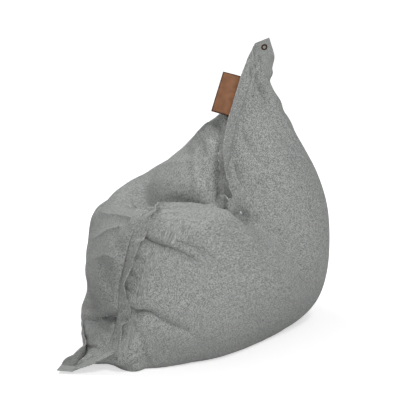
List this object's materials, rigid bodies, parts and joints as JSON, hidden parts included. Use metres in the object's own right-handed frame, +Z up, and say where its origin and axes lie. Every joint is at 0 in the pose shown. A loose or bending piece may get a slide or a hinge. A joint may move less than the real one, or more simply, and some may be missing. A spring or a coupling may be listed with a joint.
{
  "type": "bean bag chair",
  "caption": "Pillow-shaped bean bag set up as a low chair: peaked back, scooped seat, flat stitched border, corner eyelet, bare leather label, zipped cover and liner.",
  "frame": {"origin": "on the floor under the seat, in the plane of the flat underside", "axes": "+Z up; the sitter looks along -Y; +X is the sitter's left, the side of the peaked back corner"},
  "size_m": [0.8841, 1.086, 1.0565],
  "materials": {
    "cover_cloth": "matt melange weave",
    "liner_cloth": "plain non-woven",
    "beads": "expanded beads",
    "zip_tape": "woven tape",
    "zip_teeth": "moulded",
    "liner_zip_teeth": "moulded",
    "zip_metal": "satin",
    "eyelet_metal": "dark bronze, polished",
    "label_leather": "smooth brown"
  },
  "bodies": {
    "bag": {"cover_seat_panel": "cover_cloth", "cover_base_panel": "cover_cloth", "liner_seat_panel": "liner_cloth", "liner_base_panel": "liner_cloth", "bead_fill": "beads", "zip_placket": "cover_cloth", "cover_zip_tape_front": "zip_tape", "cover_zip_tape_back": "zip_tape", "cover_zip_teeth_front": "zip_teeth", "cover_zip_teeth_back": "zip_teeth", "cover_zip_top_stops": "zip_metal", "cover_zip_bottom_stop": "zip_metal", "liner_zip_tape_front": "liner_cloth", "liner_zip_tape_back": "liner_cloth", "liner_zip_teeth_front": "liner_zip_teeth", "liner_zip_teeth_back": "liner_zip_teeth", "liner_zip_top_stops": "zip_metal", "liner_zip_bottom_stop": "zip_metal", "eyelet": "eyelet_metal", "eyelet_washer": "eyelet_metal", "label_sewn_edge": "label_leather"},
    "cover_slider": {"cover_zip_slider": "zip_metal"},
    "cover_puller": {"cover_zip_puller": "zip_metal"},
    "liner_slider": {"liner_zip_slider": "zip_metal"},
    "label_flap": {"label": "label_leather"}
  },
  "joints": [
    {"name": "cover_zip_slide", "type": "slide", "parent": "bag", "child": "cover_slider", "axis": [-1, 0, 0], "range_m": [0, 0.39], "deforming": ["cover_zip_teeth_front", "cover_zip_teeth_back"]},
    {"name": "cover_puller_swing", "type": "hinge", "parent": "cover_slider", "child": "cover_puller", "pos_m": [0.2, -0.06, 0.00465], "axis": [0, 1, 0], "range_deg": [0, 180]},
    {"name": "liner_zip_slide", "type": "slide", "parent": "bag", "child": "liner_slider", "axis": [-1, 0, 0], "range_m": [0, 0.29], "deforming": ["liner_zip_teeth_front", "liner_zip_teeth_back"]},
    {"name": "label_bend", "type": "hinge", "parent": "bag", "child": "label_flap", "pos_m": [0.16956, 0.11865, 0.87109], "axis": [0.319, -0.4533, -0.8323], "range_deg": [-100, 30], "stiffness_Nm_per_rad": 0.05}
  ]
}
